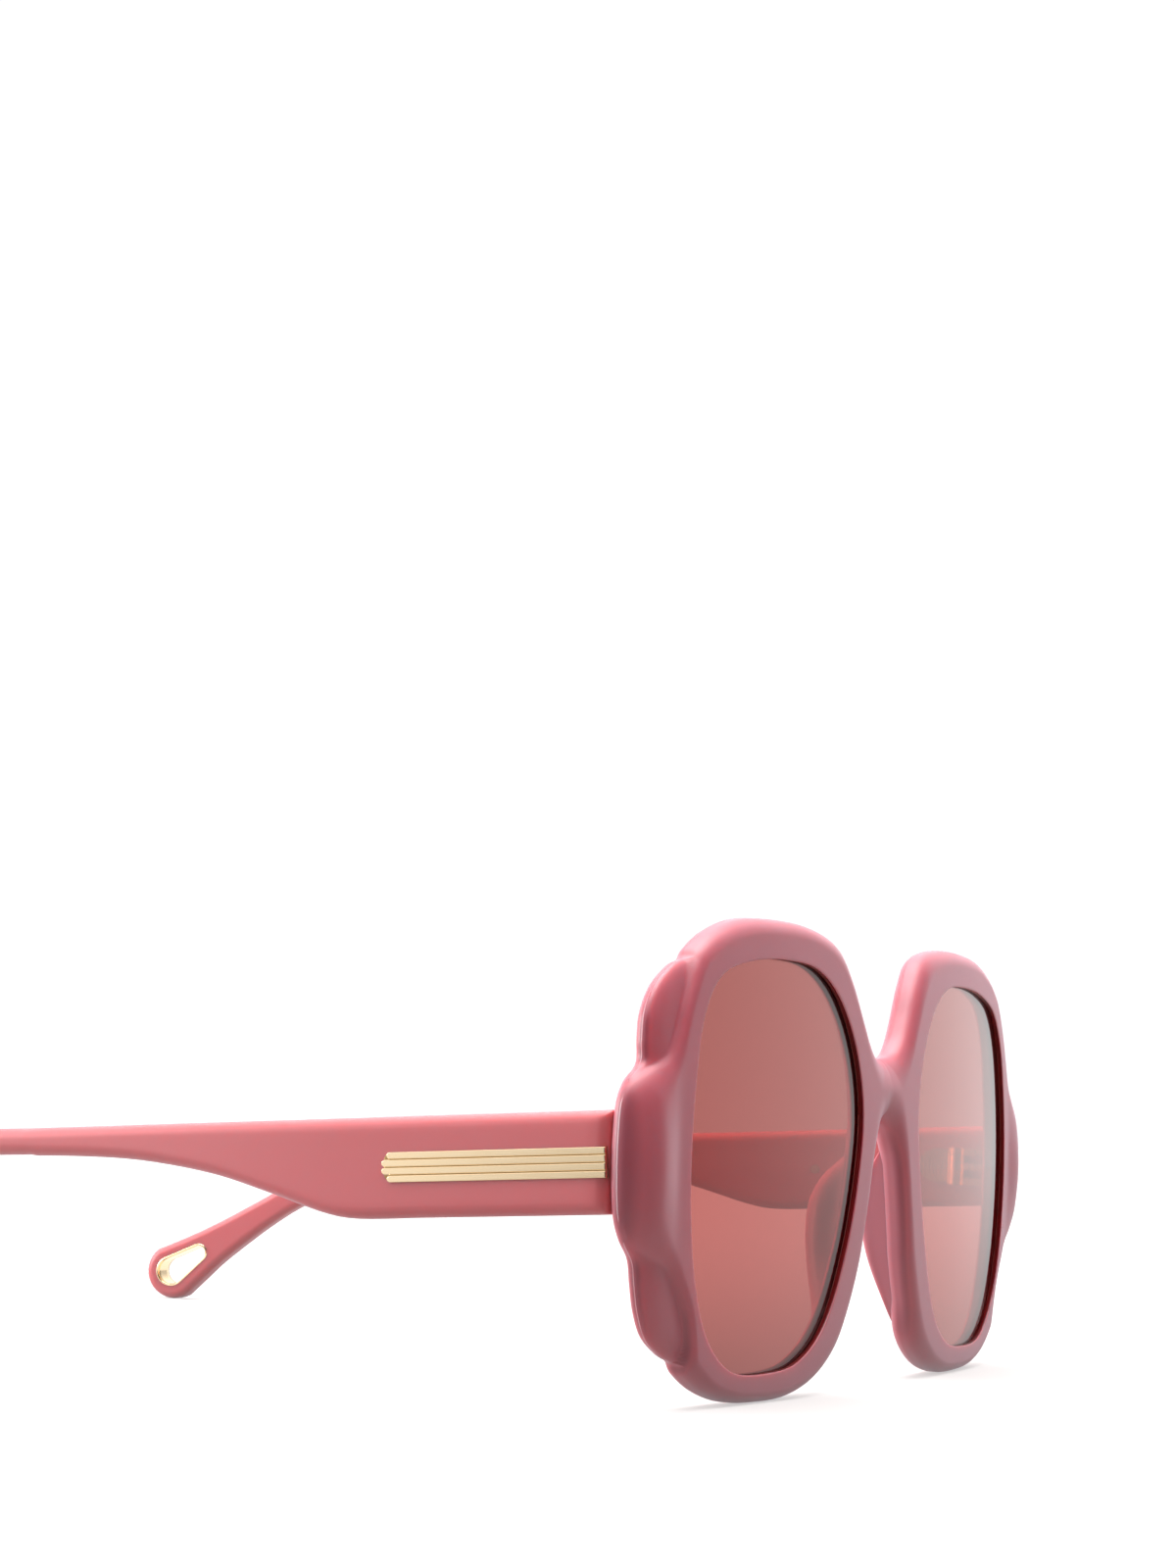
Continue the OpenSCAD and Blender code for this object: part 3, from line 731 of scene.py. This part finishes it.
def makeLens(side):
    rings = lens["rings"]
    out = opening - lensCentre
    edge = opening + lens["tuck"] * out / np.linalg.norm(out, axis=1)[:, None]
    count = len(edge)
    faceSide = front["recess"] + lens["clearance"]
    backSide = front["recess"] + front["lensThickness"] - lens["clearance"]
    points = []
    # out over the face from its middle, then back in over the back
    for depth, order in ((faceSide, range(1, rings + 1)), (backSide, range(rings, 0, -1))):
        for i in order:
            place = lensCentre + (edge - lensCentre) * np.sin(pi / 2 * i / rings)
            x, z = place[:, 0], place[:, 1]
            points.append(np.stack([x, faceDepth(x, z) + depth, z], 1))
    points = np.concatenate(points)
    faces = gridFaces(2 * rings, count, wrapColumns=True)
    faces.append(list(range(count))[::-1])
    faces.append(list(range((2 * rings - 1) * count, 2 * rings * count)))
    makePiece("lens" + side.capitalize(), points, faces, "front", [lensNylon],
              ["lens_" + side], mirror=side == "right")


pad = {
    # height above the floor, and how far behind the face the pad stands there
    "profile": [(33, 3.6), (31.5, 5.0), (29, 7.2), (26.5, 8.4), (24, 8.8), (20, 8.5), (16, 7.6), (12, 6.2),
                (8.5, 4.9), (5.5, 3.4)],
    "width": 4.6,
    "sink": 0.9,            # how far its foot goes into the back of the rim
    "inset": 0.35,
}


def makePad(side):
    rail = smoothLine(pad["profile"], 5)
    low = rimEdge[:int(np.argmin(rimEdge[:, 1])) + 1]
    rows = []
    for z, reach in rail:
        noseEdge = np.interp(z, low[:, 1][::-1], low[:, 0][::-1])
        level = faceDepth(noseEdge, z)
        base = backDepth(noseEdge + 3, z) - pad["sink"]
        slant = front["noseSlant"]
        height = max(reach + level - base, 0.05)
        lean = slant * height
        x0 = noseEdge + slant * (base - level) + pad["inset"]
        width = pad["width"]
        section = [(x0, base), (x0 + lean * 0.5, base + height * 0.5),
                   (x0 + lean * 0.86, base + height * 0.86), (x0 + lean + 0.75, base + height),
                   (x0 + lean + 1.8, base + height * 0.9), (x0 + lean + 2.7, base + height * 0.6),
                   (x0 + width, base + height * 0.18), (x0 + width + 0.3, base - 0.2)]
        line = smoothLine(section, 4)
        rows.append(np.stack([line[:, 0], line[:, 1], np.full(len(line), z)], 1))
    count = len(rows[0])
    points = np.concatenate(rows)
    faces = gridFaces(len(rows), count, wrapColumns=True)
    faces.append(list(range(count)))
    faces.append(list(range((len(rows) - 1) * count, len(rows) * count))[::-1])
    makePiece("nosePad" + side.capitalize(), points, faces, "front", [frontAcetate],
              ["nose_pad_" + side], mirror=side == "right")


for side in ("right", "left"):
    makeLens(side)
    makePad(side)
print("lenses and nose pads made")


temple = {
    "length": 147.3,
    "height": 12.6,
    "thickness": 4.5,
    "bladeLength": 35.0,
    "armHeight": 3.5,
    "armThickness": 3.6,
    "drop": 4.1,
    "toeIn": 2.3,
    "taperFrom": 6,         # mm behind the blade's end, where the temple begins to get thinner
    "taperTo": 51,
    "tipCurl": 4.1,
    "curlLength": 57,
    "tipRadius": 4.7,
    "buttGap": 0.18,
    "edgeRound": 1.5,
}
templeX = edgeX + sideRim - 0.3 - temple["thickness"] / 2
templeY = front["backCentre"] - np.sqrt(front["backRadius"] ** 2 - templeX ** 2)
templeTop = lensCentre[1] + temple["height"] / 2 - 0.1
tipY = templeY + temple["length"] - temple["tipRadius"]
curlY = tipY - temple["curlLength"]
stepY = templeY + temple["bladeLength"]


def edgeZ(y):
    return templeTop - (y - templeY) * np.tan(radians(temple["drop"]))


def centreX(y):
    curl = temple["tipCurl"] * (np.maximum(0, y - curlY) / temple["curlLength"]) ** 2
    return templeX - (y - templeY) * np.tan(radians(temple["toeIn"])) - curl


def halfThickness(y):
    share = ease(y, stepY + temple["taperFrom"], stepY + temple["taperTo"])
    return (temple["thickness"] + (temple["armThickness"] - temple["thickness"]) * share) / 2


def below(y, share):
    return (y, edgeZ(y) - temple["armHeight"] - (temple["height"] - temple["armHeight"]) * share)


tipR = temple["tipRadius"]
tipArc = [(tipY + tipR * cos(radians(a)), tipR + tipR * sin(radians(a))) for a in range(60, -121, -10)]
upperEdge = smoothLine([(curlY, edgeZ(curlY)), (tipY - 44, edgeZ(tipY - 44)), (tipY - 35, tipR + 22.7),
                        (tipY - 26, tipR + 19.4), (tipY - 16.5, tipR + 13.9), (tipY - 8.2, tipR + 9.1),
                        (tipY - 2.2, tipR + 6), tipArc[1]], 8)
lowerEdge = smoothLine([below(curlY, 0), below(tipY - 48, 0), (tipY - 40, tipR + 19.8),
                        (tipY - 30, tipR + 16.2), (tipY - 22, tipR + 12.2), (tipY - 16.7, tipR + 8.7),
                        (tipY - 12.1, tipR + 5.1), (tipY - 8.2, tipR + 1.8), (tipY - 5.7, tipR - 0.7),
                        tipArc[-1]], 8)
haunch = smoothLine([below(stepY - 8, 1), below(stepY, 1), below(stepY + 5, 0.913), below(stepY + 13, 0.63),
                     below(stepY + 22, 0.337), below(stepY + 33, 0.125), below(stepY + 43, 0.04),
                     below(stepY + 53, 0.01)], 8)
window = {
    "small": (tipY - 4.6, tipR + 3.4, 1.6),   # place and radius of each end
    "large": (tipY + 0.2, tipR, 2.6),
    "ringWall": 0.4,
    "ringProud": 0.15,
}


def windowShape(grow, steps=26):
    (y0, z0, r0), (y1, z1, r1) = window["small"], window["large"]
    along = np.arctan2(z1 - z0, y1 - y0)
    spread = np.arccos((r0 - r1) / np.hypot(y1 - y0, z1 - z0))
    first = along + spread + (2 * pi - 2 * spread) * np.linspace(0, 1, steps)
    second = along - spread + 2 * spread * np.linspace(0, 1, steps + 14)
    small = np.stack([y0 + (r0 + grow) * np.cos(first), z0 + (r0 + grow) * np.sin(first)], 1)
    large = np.stack([y1 + (r1 + grow) * np.cos(second), z1 + (r1 + grow) * np.sin(second)], 1)
    sideSteps = 8
    joins = []
    for a, b in ((small[-1], large[0]), (large[-1], small[0])):
        joins.append(np.array([a + (b - a) * k / sideSteps for k in range(1, sideSteps)]))
    return np.concatenate([small, joins[0], large, joins[1]])


def templeSide(name, side):
    # stations from the butt end to the cut before the tip: upper and lower edge points
    buttSteps = np.array([0, 0.08, 0.2, 0.4, 0.8])
    straight = np.concatenate([templeY + buttSteps, np.arange(templeY + 2, curlY, 1.5)])
    uppers = [(y, edgeZ(y)) for y in straight]
    lowerZ = np.interp(straight, haunch[:, 0], haunch[:, 1])
    lowerZ = np.where(straight < haunch[0, 0], edgeZ(straight) - temple["height"], lowerZ)
    lowerZ = np.where(straight > haunch[-1, 0], edgeZ(straight) - temple["armHeight"], lowerZ)
    lowers = list(zip(straight, lowerZ))
    cut = next(i for i, p in enumerate(upperEdge) if p[0] > tipY - 9)
    lastLow = 0
    for p in upperEdge[:cut + 1]:
        lastLow = max(lastLow, int(np.argmin(((lowerEdge - p) ** 2).sum(1))))
        uppers.append(tuple(p))
        lowers.append(tuple(lowerEdge[lastLow]))
    uppers, lowers = np.array(uppers), np.array(lowers)
    outline = np.concatenate([uppers, upperEdge[cut + 1:-1], tipArc[1:], lowerEdge[lastLow:-1][::-1],
                              lowers[:-1][::-1]])
    steps = np.hypot(*(outline[1:] - outline[:-1]).T)
    outline = outline[[0] + [i + 1 for i, step in enumerate(steps) if step > 1e-4]]
    loop = np.concatenate([outline, outline[:1]])
    shape = windowShape(0)

    def faces(points):
        y = points[:, 0]
        away = distanceTo(points, loop)
        half = halfThickness(y)
        height = edgeZ(y) - np.interp(y, haunch[:, 0], haunch[:, 1])
        local = np.clip(0.45 * height, 1.2, temple["edgeRound"])
        fall = rounding(away, local, local)
        return half - fall, -(half - fall)

    across = (1 - np.cos(pi * np.linspace(0, 1, 27))) / 2
    plan = lowers[:, None] + (uppers - lowers)[:, None] * across[None, :, None]
    outer, inner = faces(plan.reshape(-1, 2))
    outer, inner = outer.reshape(plan.shape[:2]), inner.reshape(plan.shape[:2])
    for i, shrink in enumerate((0.35, 0.16, 0.05)):
        outer[i] -= shrink
        inner[i] += shrink
        middle = plan[i].mean(0)
        plan[i] = middle + (plan[i] - middle) * (1 - shrink / (temple["height"] / 2))
    sections = []
    for i in range(len(plan)):
        y, z = plan[i][:, 0], plan[i][:, 1]
        if i < len(buttSteps):
            # the butt end keeps its gap from the curved back of the front
            gapRadius = front["backRadius"] - temple["buttGap"]
            y = y - templeY + front["backCentre"] - np.sqrt(gapRadius ** 2 - templeX ** 2)
        out = np.stack([centreX(y) + outer[i], y, z], 1)
        back = np.stack([centreX(y) + inner[i], y, z], 1)[::-1]
        sections.append(np.concatenate([out, back]))
    points = np.concatenate(sections)
    count = len(sections[0])
    allFaces = gridFaces(len(sections), count, wrapColumns=True)
    allFaces.append(list(range(count)))
    # the tip round its window
    cutLine = plan[-1]
    rim = np.concatenate([cutLine, upperEdge[cut + 1:-1], tipArc[1:], lowerEdge[lastLow + 1:-1][::-1]])
    seam = np.zeros(len(rim), bool)
    seam[:len(cutLine)] = True
    middle = np.array([tipY - 1.2, tipR + 0.9])
    rays = rim - middle
    rays = rays / np.linalg.norm(rays, axis=1)[:, None]
    hole = rayLoop(middle, rays, shape)

    def tipPoint(place, depth):
        return np.stack([centreX(place[:, 0]) + depth, place[:, 0], place[:, 1]], 1)

    tipPoints, tipFaces = ringSolid(hole, rim, seam, faces, 14, tipPoint)
    allFaces += [[i + len(points) for i in face] for face in tipFaces]
    makePiece(name, np.concatenate([points, tipPoints]), allFaces, "temple_" + side,
              [templeAcetate], ["temple_" + side], mirror=side == "right")


def makeTipRing(side):
    # a thin metal ring with rolled edges, pressed into the tip's window
    wall, proud = window["ringWall"], window["ringProud"]
    profile = [(0.0, -1.0, 0), (-0.12, -1.0, proud), (-0.28, -1.0, proud), (-wall, -1.0, 0.02),
               (-wall, -0.5, 0), (-wall, 0.0, 0), (-wall, 0.5, 0), (-wall, 1.0, 0.02),
               (-0.28, 1.0, proud), (-0.12, 1.0, proud), (0.0, 1.0, 0)]
    rows = []
    for inset, share, out in profile:
        line = windowShape(inset - 0.01)
        y = line[:, 0]
        depth = share * (halfThickness(y) + out)
        rows.append(np.stack([centreX(y) + depth, y, line[:, 1]], 1))
    points = np.concatenate(rows)
    faces = gridFaces(len(rows), len(rows[0]), wrapRows=True, wrapColumns=True)
    makePiece("tipRing" + side.capitalize(), points, faces, "temple_" + side, [plaqueGold],
              ["tip_ring_" + side], mirror=side == "right")


plaque = {
    "start": 0.5,
    "length": 31.0,
    "height": 3.85,
    "proud": 0.25,
    "grooveWidth": 0.15,
    "corner": 1.2,
    "outerShort": 0.75,     # how much sooner the two outer ribs end
    "plateLevel": 0.03,
    "cornerLevel": -0.6,    # outside the round corners of the plate
    "inlayDepth": 0.8,      # from the temple's face to the back of the plaque
    "ribRound": 0.06,
    "endRound": 0.12,
    "grooveBelow": 0.1,     # faces under this level get the darker gold: painted shade in the grooves
}


def makePlaque(side):
    # four flat ribs with round ends over a thin backing plate
    length, height = plaque["length"], plaque["height"]
    along = np.concatenate([np.linspace(0, 0.3, 7), np.arange(0.6, length - 1.7, 0.6),
                            np.linspace(length - 1.6, length, 33)])
    across = np.linspace(-height / 2, height / 2, 93)
    s, v = np.meshgrid(along, across, indexing="ij")
    ribPitch = height / 4
    level = np.full(s.shape, plaque["cornerLevel"])
    # backing plate, round at its rear corners
    corner = plaque["corner"]
    backS, backV = s - (length - 0.25 - corner), np.abs(v) - (height / 2 - corner)
    outside = np.hypot(np.maximum(backS, 0), np.maximum(backV, 0)) - corner
    level = np.where(outside < 0, plaque["plateLevel"], level)
    for i in range(4):
        middle = (i - 1.5) * ribPitch
        half = (ribPitch - plaque["grooveWidth"]) / 2
        end = length - (plaque["outerShort"] if i in (0, 3) else 0.0)
        reach = np.maximum(s - (end - half), 0)
        edge = half - np.hypot(reach, v - middle)
        rib = plaque["proud"] - rounding(np.maximum(edge, 0), plaque["ribRound"], plaque["ribRound"])
        level = np.where(edge > 0, np.maximum(level, rib), level)
    level = level - rounding(s, plaque["endRound"], plaque["endRound"])
    slope, lean = radians(temple["drop"]), radians(temple["toeIn"])
    y0 = templeY + plaque["start"]
    origin = np.array([centreX(y0) + temple["thickness"] / 2, y0, edgeZ(y0) - temple["height"] / 2])
    alongWay = np.array([-sin(lean) * cos(slope), cos(lean) * cos(slope), -sin(slope)])
    outWay = np.array([cos(lean), sin(lean), 0])
    upWay = np.cross(outWay, alongWay)
    points = (origin + s[..., None] * alongWay + v[..., None] * upWay + level[..., None] * outWay)
    base = points - (level[..., None] + plaque["inlayDepth"]) * outWay
    count = len(across)
    allPoints = np.concatenate([points.reshape(-1, 3), base.reshape(-1, 3)])
    total = len(along) * count
    faces = gridFaces(len(along), count)
    depths = level.reshape(-1)
    pick = [1 if max(depths[i] for i in face) < plaque["grooveBelow"] else 0 for face in faces]
    faces += [[i + total for i in face[::-1]] for face in gridFaces(len(along), count)]
    border = (list(range(count)) + [i * count + count - 1 for i in range(1, len(along))]
              + [(len(along) - 1) * count + j for j in range(count - 2, -1, -1)]
              + [i * count for i in range(len(along) - 2, 0, -1)])
    for a, b in zip(border, border[1:] + border[:1]):
        faces.append([a, b, b + total, a + total])
    pick += [0] * (len(faces) - len(pick))
    makePiece("plaque" + side.capitalize(), allPoints, faces, "temple_" + side,
              [plaqueGold, grooveShadeGold], ["plaque_" + side], mirror=side == "right", pick=pick)


for side in ("right", "left"):
    templeSide("temple" + side.capitalize(), side)
    makeTipRing(side)
    makePlaque(side)
print("temples, tip rings and plaques made")


finishes = {"front_hinge": hingeGold, "temple_hinge": hingeGold, "hinge_screw": screwSteel,
            "core_wire": wireSteel, "plaque_rivet": plaqueGold}
easedEdge = {"width": 0.08, "segments": 2, "angle": 40}
for stem, finish in finishes.items():
    for side in ("right", "left"):
        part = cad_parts[stem + "_" + side]
        part.data.materials.clear()
        part.data.materials.append(finish)
        if stem in ("front_hinge", "temple_hinge", "hinge_screw"):
            bevel = part.modifiers.new("eased edges", "BEVEL")
            bevel.width = easedEdge["width"] * mm
            bevel.segments = easedEdge["segments"]
            bevel.limit_method = "ANGLE"
            bevel.angle_limit = radians(easedEdge["angle"])
print("metal parts finished")
